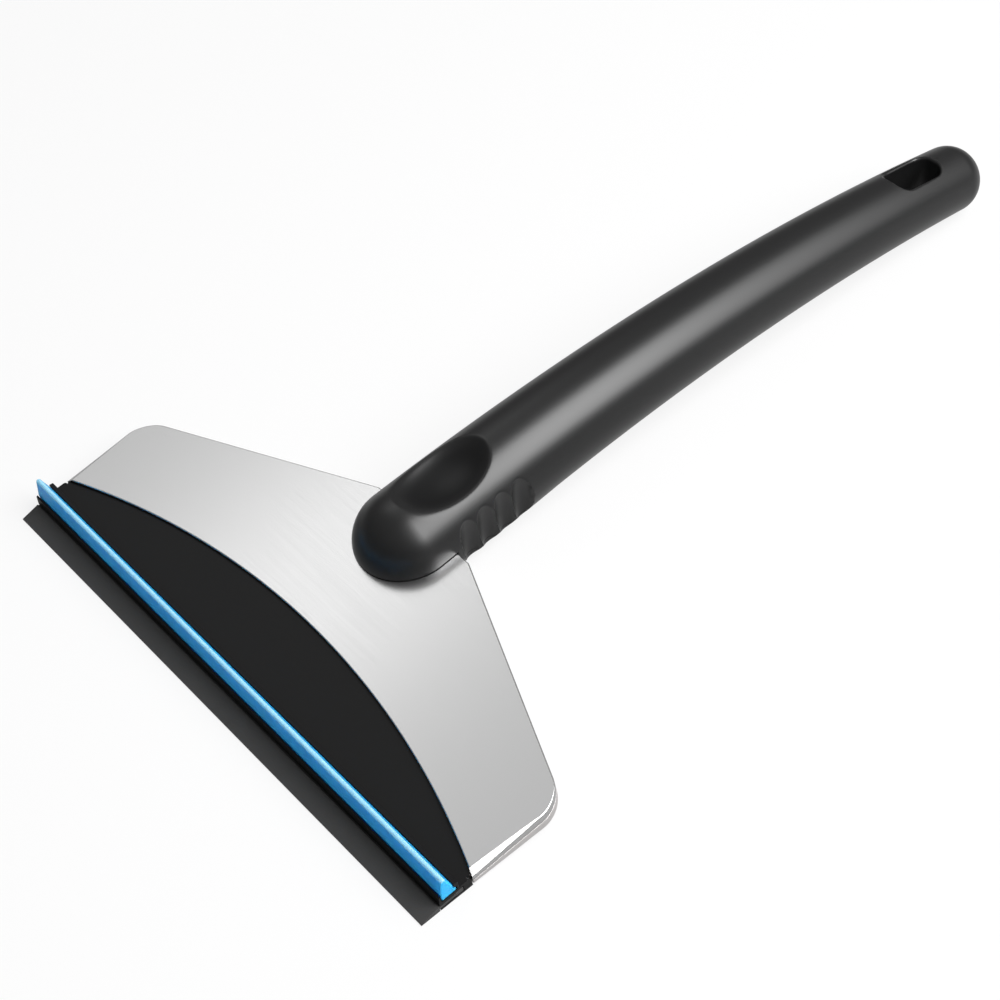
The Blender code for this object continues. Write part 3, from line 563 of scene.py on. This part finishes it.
def sectionBar(points, rounded, length):
    # a section in the plane across the blade, some corners rounded, drawn out along the blade
    shape = outlineFace(points, lambda y, z: (-length / 2, y, z))
    for corner, radius in rounded.items():
        y, z = points[corner]
        roundVerts(shape, [(-length / 2, y, z)], radius, segments=5)
    return extruded(shape, (length, 0, 0))


def makeBlade():
    low = undersideZ(blade["reach"]) + blade["neckRise"]
    high = low + blade["neck"]
    middle = (low + high) / 2
    neckEnd = blade["reach"] + blade["neckLength"]
    bulbEnd = neckEnd + blade["bulbLength"]
    half = blade["bulb"] / 2
    root = undersideZ(blade["reach"])
    points = [(0, undersideZ(0)), (blade["reach"], root), (blade["reach"], low), (neckEnd, low),
              (neckEnd, middle - half), (bulbEnd, middle - half), (bulbEnd, middle + half),
              (neckEnd, middle + half), (neckEnd, high), (blade["reach"], high),
              (blade["reach"], root + blade["root"]), (0, undersideZ(0) + blade["tip"])]
    shape = sectionBar(points, blade["rounds"], blade["length"])
    evenNormals(finishPiece("rubberBlade", shape, "rubber", ["rubber_blade"], body="blade"))


strip = {
    "front": 6.25 * mm, "low": 4.34 * mm, "foot": 3.9 * mm, "footHeight": 1 * mm, "neck": 3.3 * mm,
    "rearZ": 6.8 * mm, "frontZ": 6.2 * mm, "apexZ": 10.95 * mm, "apexRadius": 0.6 * mm, "setback": 1.55 * mm,
    "apexFrom": 18, "apexTurn": 150, "apexSteps": 16,  # degrees, from the rear over the top
    "flankRound": 0.25 * mm, "endRound": 0.3 * mm,
}


def makeStrip():
    front = strip["front"]
    neck = front + strip["neck"]
    foot = front + strip["foot"]
    shoulder = strip["low"] + strip["footHeight"]
    middle = Vector((front + strip["setback"], strip["apexZ"] - strip["apexRadius"]))
    points = [(front, strip["low"]), (foot, strip["low"]), (foot, shoulder), (neck, shoulder),
              (neck, strip["rearZ"])]
    for i in range(strip["apexSteps"] + 1):
        turn = math.radians(strip["apexFrom"] + strip["apexTurn"] * i / strip["apexSteps"])
        points.append((middle.x + strip["apexRadius"] * math.cos(turn),
                       middle.y + strip["apexRadius"] * math.sin(turn)))
    points.append((front, strip["frontZ"]))
    flanks = {i: strip["flankRound"] for i in (4, len(points) - 1)}
    shape = sectionBar(points, flanks, blade["length"])
    ends = [e for e in shape.edges if span(e)[0] < tiny
            and abs(abs(e.verts[0].co.x) - blade["length"] / 2) < tiny]
    bmesh.ops.bevel(shape, geom=ends, offset=strip["endRound"], segments=3, profile=0.5, affect="EDGES",
                    material=-1)
    evenNormals(finishPiece("blueStrip", shape, "strip", ["blue_strip"]))


makeBlade()
makeStrip()
print("blade and strip made")


# The core moulding keeps its own shape; its long top edges are softened

core = {"longEdge": 150 * mm, "holderEndY": 15 * mm, "lowZ": 2 * mm, "leastTurn": 0.5, "soft": 0.09 * mm}


def mergedCopy(node):
    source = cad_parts[node]
    shape = bmesh.new()
    shape.from_mesh(source.data)
    bmesh.ops.transform(shape, matrix=headPlace.inverted() @ source.matrix_world, verts=shape.verts)
    bmesh.ops.remove_doubles(shape, verts=shape.verts, dist=tiny)
    bmesh.ops.dissolve_limit(shape, angle_limit=math.radians(0.2), verts=shape.verts, edges=shape.edges)
    return shape


def makeCore():
    shape = mergedCopy("head_core")
    long = [e for e in shape.edges if span(e)[0] > core["longEdge"]
            and e.verts[0].co.y < core["holderEndY"] and e.verts[0].co.z > core["lowZ"]
            and len(e.link_faces) == 2 and e.calc_face_angle() > core["leastTurn"] and e.is_convex]
    bmesh.ops.bevel(shape, geom=long, offset=core["soft"], segments=2, profile=0.5, affect="EDGES",
                    material=-1)
    evenNormals(finishPiece("headCore", shape, "core", ["head_core"], sharp=30))


makeCore()
print("core made")


# Handle

flutes = {
    "count": 4, "startY": 71.4 * mm, "pitch": 5.4 * mm, "width": 6.2 * mm, "height": 24 * mm,
    "depth": 2.6 * mm, "lean": math.radians(6), "up": 1 * mm, "soft": 0.1 * mm,
}
handDetail = {"endY": 100 * mm, "thumbOver": 2 * mm, "flutesPast": 6 * mm}  # what the hand detail may move
slot = {
    "y": 233.9 * mm, "length": 16.5 * mm, "width": 8.8 * mm, "corner": 3.4 * mm, "lip": 1.3 * mm,
    "lipSteps": 7, "lipTurn": math.radians(82),
}
far = 60 * mm  # past every side of the handle


def bellyZ(y):
    if y >= grip["bellyStart"]:
        return centreZ(y) - gripRadius(y)
    start = centreZ(grip["bellyStart"]) - gripRadius(grip["bellyStart"])
    return max(start + grip["bellySlope"] * (grip["bellyStart"] - y), centreZ(y) - gripRadius(y))


def splitZ(y):
    return centreZ(y) - grip["split"] * (centreZ(y) - bellyZ(y))


def sectionPoint(turn, radius, depth):
    # round above; below, as deep as the belly and the fuller the shallower it is
    across = math.sin(turn)
    height = math.cos(turn)
    if height > 0:
        return radius * across, radius * height
    power = 2 / (2 + grip["bellyFullness"] * (1 - depth / radius))
    return math.copysign(radius * abs(across) ** power, across), -depth * abs(height) ** power


def softLower(a, b, reach):
    # the lower of two heights, rounded over where they cross, by a quarter of the reach at the crossing
    soft = 0.36 * reach
    return min(a, b) - soft * math.log1p(math.exp(-abs(a - b) / soft))


def gripStations():
    # pairs of place along the handle and share of the full section, closest where the hand detail is
    stations = []
    for i in range(1, grip["capSteps"] + 1):
        turn = math.pi / 2 * i / grip["capSteps"]
        stations.append((grip["noseY"] - grip["noseRadius"] * math.cos(turn), math.sin(turn)))
    y = grip["noseY"]
    while y < grip["endY"] - 0.5 * mm:
        y += grip["fineStep"] if y < grip["fineEnd"] else grip["coarseStep"]
        stations.append((min(y, grip["endY"]), 1.0))
    for i in range(1, grip["capSteps"]):
        turn = math.pi / 2 * i / grip["capSteps"]
        share = math.cos(turn) ** grip["endRoundness"]
        stations.append((grip["endY"] + grip["endCap"] * math.sin(turn), share))
    return stations


def thumbLower(spot):
    # height of the surface after the thumb's recess is pressed in
    top = centreZ(thumb["y"]) + gripRadius(thumb["y"])
    middle = top - thumb["depth"] + thumb["height"] / 2
    flat = (2 * spot.x / thumb["width"]) ** 2 + (2 * (spot.y - thumb["y"]) / thumb["length"]) ** 2
    if flat < 1:
        bowl = middle - thumb["height"] / 2 * math.sqrt(1 - flat)
    else:
        bowl = middle + thumb["height"] * (flat - 1)
    along = min(max((spot.y - thumb["y"]) / thumb["length"] + 0.5, 0), 1)
    soft = thumb["softRear"] + (thumb["softFront"] - thumb["softRear"]) * (1 - along) ** 3
    return softLower(spot.z, bowl, soft)


def fluteReach(spot):
    # distance from the middle plane after the leaned, egg-shaped scoops are taken out of the flank
    reach = abs(spot.x)
    half, tall = flutes["width"] / 2, flutes["height"] / 2
    c, s = math.cos(flutes["lean"]), math.sin(flutes["lean"])
    for i in range(flutes["count"]):
        y = flutes["startY"] + flutes["pitch"] * i
        up = spot.z - centreZ(y) - flutes["up"]
        a = (c / half) ** 2 + (s / tall) ** 2
        b = up * c * s * (1 / tall ** 2 - 1 / half ** 2)
        inside = b ** 2 - a * ((up * s / half) ** 2 + (up * c / tall) ** 2 + ((spot.y - y) / half) ** 2 - 1)
        if inside > 0:
            scoop = gripRadius(y) - flutes["depth"] + half - (b + math.sqrt(inside)) / a
            reach = softLower(reach, scoop, flutes["soft"])
    return math.copysign(reach, spot.x)


def gripForm():
    # a ring is drawn out along the handle, then every ring takes its section
    shape = bmesh.new()
    stations = gripStations()
    bmesh.ops.create_circle(shape, segments=grip["around"], radius=1 * mm)
    bmesh.ops.rotate(shape, verts=shape.verts, cent=(0, 0, 0), matrix=Matrix.Rotation(math.pi / 2, 3, "X"))
    rings = [shape.verts[:]]
    edges = shape.edges[:]
    for _ in stations[1:]:
        grown = bmesh.ops.extrude_edge_only(shape, edges=edges)["geom"]
        edges = [e for e in grown if isinstance(e, bmesh.types.BMEdge) and len(e.link_faces) == 1]
        rings.append([v for v in grown if isinstance(v, bmesh.types.BMVert)])
    for ring, (y, share) in zip(rings, stations):
        run = (y - grip["crestY"]) / grip["arcRadius"]
        upward = Vector((0, run, math.sqrt(1 - run ** 2)))
        radius = gripRadius(y)
        depth = centreZ(y) - bellyZ(y)
        for vert in ring:
            across, height = sectionPoint(math.atan2(vert.co.x, vert.co.z), radius, depth)
            vert.co = Vector((0, y, centreZ(y))) + share * (Vector((across, 0, 0)) + upward * height)
    for ends in (rings[0], rings[-1]):
        chosen = set(ends)
        bmesh.ops.contextual_create(shape, geom=[e for e in shape.edges if set(e.verts) <= chosen])
    bmesh.ops.recalc_face_normals(shape, faces=shape.faces)
    return shape


def pressHandDetail(shape):
    for vert in shape.verts:
        if vert.co.y < handDetail["endY"]:
            if vert.co.z > centreZ(vert.co.y) + handDetail["thumbOver"]:
                vert.co.z = thumbLower(vert.co)
            if abs(vert.co.x) > handDetail["flutesPast"]:
                vert.co.x = fluteReach(vert.co)


def belowSplit(offset, startY, endY):
    # all that lies under the curved line where the cover meets the handle
    steps = 48
    places = [startY + (endY - startY) * i / steps for i in range(steps + 1)]
    outline = [(y, splitZ(y) + offset) for y in places] + [(endY, -far), (startY, -far)]
    return extruded(outlineFace(outline, lambda y, z: (-far / 2, y, z)), (far, 0, 0))


def slotTool():
    # a prism that flares at both faces of the handle, so that the rim comes out rounded
    shape = bmesh.new()
    width, length = slot["width"] / 2, slot["length"] / 2
    corners = [(width, -length), (width, length), (-width, length), (-width, -length)]
    shape.faces.new([shape.verts.new((x, y, 0)) for x, y in corners])
    roundVerts(shape, [(x, y, 0) for x, y in corners], slot["corner"], segments=8)
    bmesh.ops.delete(shape, geom=shape.faces[:], context="FACES_ONLY")
    bmesh.ops.subdivide_edges(shape, edges=[e for e in shape.edges if e.calc_length() > 3 * mm], cuts=6)
    tilt = math.asin((slot["y"] - grip["crestY"]) / grip["arcRadius"])
    radius = gripRadius(slot["y"])
    edges = shape.edges[:]
    steps = slot["lipSteps"]
    levels = [("low", 1.0)] + [("under", i / steps) for i in range(steps, -1, -1)]
    levels += [("over", i / steps) for i in range(steps + 1)] + [("high", 1.0)]
    rings = [shape.verts[:]]
    for _ in levels[1:]:
        grown = bmesh.ops.extrude_edge_only(shape, edges=edges)["geom"]
        edges = [e for e in grown if isinstance(e, bmesh.types.BMEdge) and len(e.link_faces) == 1]
        rings.append([v for v in grown if isinstance(v, bmesh.types.BMVert)])
    for ring, (kind, share) in zip(rings, levels):
        turn = share * slot["lipTurn"]
        for vert in ring:
            spot = Vector((vert.co.x, vert.co.y))
            inner = Vector((max(min(spot.x, width - slot["corner"]), slot["corner"] - width),
                            max(min(spot.y, length - slot["corner"]), slot["corner"] - length)))
            outward = (spot - inner).normalized()
            spread = slot["lip"] * (1 - math.cos(turn))
            place = spot + outward * spread
            crown = math.sqrt(max(radius ** 2 - place.x ** 2, 0))
            drop = slot["lip"] * (1 - math.sin(turn))
            height = {"low": -far / 2, "under": drop - crown, "over": crown - drop, "high": far / 2}[kind]
            vert.co = (place.x, place.y, height)
    for ends in (rings[0], rings[-1]):
        chosen = set(ends)
        bmesh.ops.contextual_create(shape, geom=[e for e in shape.edges if set(e.verts) <= chosen])
    place = Matrix.Translation((0, slot["y"], centreZ(slot["y"]))) @ Matrix.Rotation(-tilt, 4, "X")
    bmesh.ops.transform(shape, matrix=place, verts=shape.verts)
    bmesh.ops.recalc_face_normals(shape, faces=shape.faces)
    return shape


fixing = {
    "tongueHalf": 8.8 * mm, "tongueTop": 3.9 * mm, "tongueLow": -1.5168 * mm, "tongueEnd": 107 * mm,
    "seatZ": 5.44 * mm, "seatY": 66.7 * mm, "splitStart": 35 * mm,
    "shank": 1.5 * mm, "headRadius": 2.8 * mm, "headHeight": 1.5 * mm, "sink": 0.4 * mm,
    "clamp": (84 * mm, 98 * mm), "cover": (146 * mm, 202 * mm),
    "clampLength": 15 * mm, "coverLength": 11 * mm,
}


def makeHandle():
    shape = gripForm()
    pressHandDetail(shape)
    half, end = fixing["tongueHalf"], fixing["tongueEnd"]
    tools = [belowSplit(grip["seam"] / 2, fixing["splitStart"], grip["coverEnd"]),
             block((-half, 0, -far), (half, end, fixing["tongueTop"])),
             block((-far, -far, -far), (far, fixing["seatY"], fixing["seatZ"])),
             slotTool()]
    shape = cutWith(shape, tools)
    finishPiece("handleBody", shape, "grip", ["handle_body"], sharp=38)


makeHandle()
print("handle made")


def makeCover():
    shape = gripForm()
    pressHandDetail(shape)
    kept = belowSplit(-grip["seam"] / 2, fixing["seatY"], grip["coverEnd"] - grip["seam"])
    shape = cutWith(shape, [kept], "INTERSECT")
    half, end = fixing["tongueHalf"], fixing["tongueEnd"]
    tools = [block((-half, 0, fixing["tongueLow"]), (half, end, far))]
    for y in fixing["clamp"] + fixing["cover"]:
        seat = bellyZ(y) + fixing["sink"] + fixing["headHeight"] + grip["seam"] / 2
        tools.append(rod((0, y), fixing["headRadius"] + grip["seam"], -far, seat))
        tools.append(rod((0, y), fixing["shank"] + grip["seam"], -far, far))
    shape = cutWith(shape, tools)
    finishPiece("undersideCover", shape, "grip", ["underside_cover"], sharp=38)


makeCover()
print("cover made")


# Screws with a cross recess

screw = {  # shares of the shank's radius, the head's radius or the head's height
    "crown": 0.35, "tip": 0.4, "recessArm": 0.55, "recessWide": 0.14, "recessDeep": 0.6, "around": 48,
}
backScrew = {"shank": 1.1 * mm, "length": 4 * mm, "headRadius": 2.2 * mm, "headHeight": 0.9 * mm}


def makeScrew(name, node, place, shank, length, headRadius, headHeight):
    shape = bmesh.new()
    crown = headHeight * screw["crown"]
    profile = [(0, -headHeight), (headRadius - crown, -headHeight), (headRadius, crown - headHeight),
               (headRadius, 0), (shank, 0), (shank, length - shank), (shank * screw["tip"], length),
               (0, length)]
    verts = [shape.verts.new((radius, 0, height)) for radius, height in profile]
    lines = [shape.edges.new(pair) for pair in zip(verts, verts[1:])]
    bmesh.ops.spin(shape, geom=verts + lines, cent=(0, 0, 0), axis=(0, 0, 1), angle=2 * math.pi,
                   steps=screw["around"], use_merge=True)
    bmesh.ops.remove_doubles(shape, verts=shape.verts, dist=tiny)
    bmesh.ops.recalc_face_normals(shape, faces=shape.faces)
    arm, wide = headRadius * screw["recessArm"], headRadius * screw["recessWide"]
    low, high = -headHeight - 1 * mm, headHeight * screw["recessDeep"] - headHeight
    shape = cutWith(shape, [block((-arm, -wide, low), (arm, wide, high)),
                            block((-wide, -arm, low), (wide, arm, high))])
    turn = 0.4 + place[0] * 30 + place[1] * 9  # each screw stopped at its own angle
    bmesh.ops.rotate(shape, verts=shape.verts, cent=(0, 0, 0), matrix=Matrix.Rotation(turn, 3, "Z"))
    bmesh.ops.translate(shape, verts=shape.verts, vec=place)
    finishPiece(name, shape, "zinc", [node], sharp=30)


def makeScrews():
    spots = [(side * x, y) for x, y in head["screws"] for side in (-1, 1)]
    for i, (x, y) in enumerate(spots):
        place = (x, y, undersideZ(y + backScrew["headRadius"]) - grip["seam"])
        makeScrew("backScrew%d" % (i + 1), "back_screw_%d" % (i + 1), place, **backScrew)
    for group in ("clamp", "cover"):
        for i, y in enumerate(fixing[group]):
            place = (0, y, bellyZ(y) + fixing["sink"] + fixing["headHeight"])
            makeScrew("%sScrew%d" % (group, i + 1), "%s_screw_%d" % (group, i + 1), place,
                      fixing["shank"], fixing[group + "Length"], fixing["headRadius"], fixing["headHeight"])


makeScrews()
print("screws made")


# Floor, light and camera

studio = {
    "floorColour": (0.8, 0.8, 0.8), "floorShade": 0.96, "floorGlow": 0.8, "mirroredGlow": 0.34, "floorSize": 8,
    "overhead": 0.26, "horizon": 0.08, "skyTop": 0.75, "aim": (0, -0.07, 0.01),
    "lamps": {  # metres and watts
        "key": {"place": (0.54, 0.4, 0.745), "size": (1.05, 0.95), "power": 7.5},
        "keyHeart": {"place": (0.54, 0.27, 0.74), "size": (0.8, 0.5), "power": 8.1},
        "sheen": {"place": (-0.505, 0.034, 0.743), "size": (0.75, 0.44), "power": 0.385},
        "band": {"place": (-0.532, 0.034, 0.724), "size": (0.1, 0.44), "power": 0.178},
    },
}
view = {
    "lens": 74.397, "sensor": 36, "place": (0.27897, -0.24411, 0.36863), "turn": (43.1205, 4.0223, 49.5571),
}


def makeFloor():
    # the camera sees the floor lifted to white and glossy surfaces see it pale; it keeps its shadow
    look = Look("paleFloor", Roughness=0.9, Specular_IOR_Level=0.1)
    darker = tuple(c * studio["floorShade"] for c in studio["floorColour"])
    look.feed(Base_Color=look.blend(look.noise(scale=6, detail=2) * 0.5, studio["floorColour"], darker))
    seen, glossy, through = [look.add("ShaderNodeLightPath", {}, output=ray)
                             for ray in ("Is Camera Ray", "Is Glossy Ray", "Is Transmission Ray")]
    mirrored = glossy + through
    glow = look.add("ShaderNodeEmission", {}, (1, 1, 1, 1), seen + mirrored * studio["mirroredGlow"])
    share = (seen + mirrored) * studio["floorGlow"]
    mixed = look.add("ShaderNodeMixShader", {}, share, Signal(look, look.shader.outputs[0]), glow)
    look.links.new(mixed.socket, look.nodes["Material Output"].inputs["Surface"])
    shape = bmesh.new()
    bmesh.ops.create_grid(shape, x_segments=1, y_segments=1, size=studio["floorSize"])
    mesh = bpy.data.meshes.new("floor")
    shape.to_mesh(mesh)
    shape.free()
    mesh.materials.append(look.material)
    floor = bpy.data.objects.new("floor", mesh)
    bpy.context.scene.collection.objects.link(floor)


def addLamp(name, aim, place, size, power):
    # a soft box: the first size lies across the handle, the second along it
    data = bpy.data.lights.new(name, "AREA")
    data.shape = "RECTANGLE"
    data.size, data.size_y = size
    data.energy = power
    lamp = bpy.data.objects.new(name, data)
    bpy.context.scene.collection.objects.link(lamp)
    back = (Vector(place) - Vector(aim)).normalized()
    across = Vector((0, 1, 0)).cross(back).normalized()
    turn = Matrix((across, back.cross(across), back)).transposed()
    lamp.matrix_world = Matrix.Translation(place) @ turn.to_4x4()


def makeLight():
    # a sky that lights a little less towards the horizon and that the camera sees white, and soft boxes
    world = bpy.data.worlds.new("studioWorld")
    bpy.context.scene.world = world
    world.use_nodes = True
    bench = NodeBench(world.node_tree)
    way = bench.add("ShaderNodeTexCoord", {}, output="Generated")
    rise = bench.ramp(bench.add("ShaderNodeSeparateXYZ", {}, way, output=2), 0, studio["skyTop"])
    sky = rise * (studio["overhead"] - studio["horizon"]) + studio["horizon"]
    seen = bench.add("ShaderNodeLightPath", {}, output="Is Camera Ray")
    strength = (1 - seen) * sky + seen
    backdrop = bench.nodes["Background"]
    backdrop.inputs["Color"].default_value = (1, 1, 1, 1)
    bench.links.new(strength.socket, backdrop.inputs["Strength"])
    for name, lamp in studio["lamps"].items():
        addLamp(name + "Lamp", studio["aim"], **lamp)


def makeCamera():
    data = bpy.data.cameras.new("camera")
    data.sensor_width = view["sensor"]
    data.lens = view["lens"]
    data.clip_start = 0.01
    camera = bpy.data.objects.new("camera", data)
    bpy.context.scene.collection.objects.link(camera)
    camera.location = view["place"]
    camera.rotation_euler = [math.radians(a) for a in view["turn"]]
    bpy.context.scene.camera = camera


makeFloor()
makeLight()
makeCamera()
bpy.context.scene.view_settings.view_transform = "Standard"
print("stage, light and camera made")
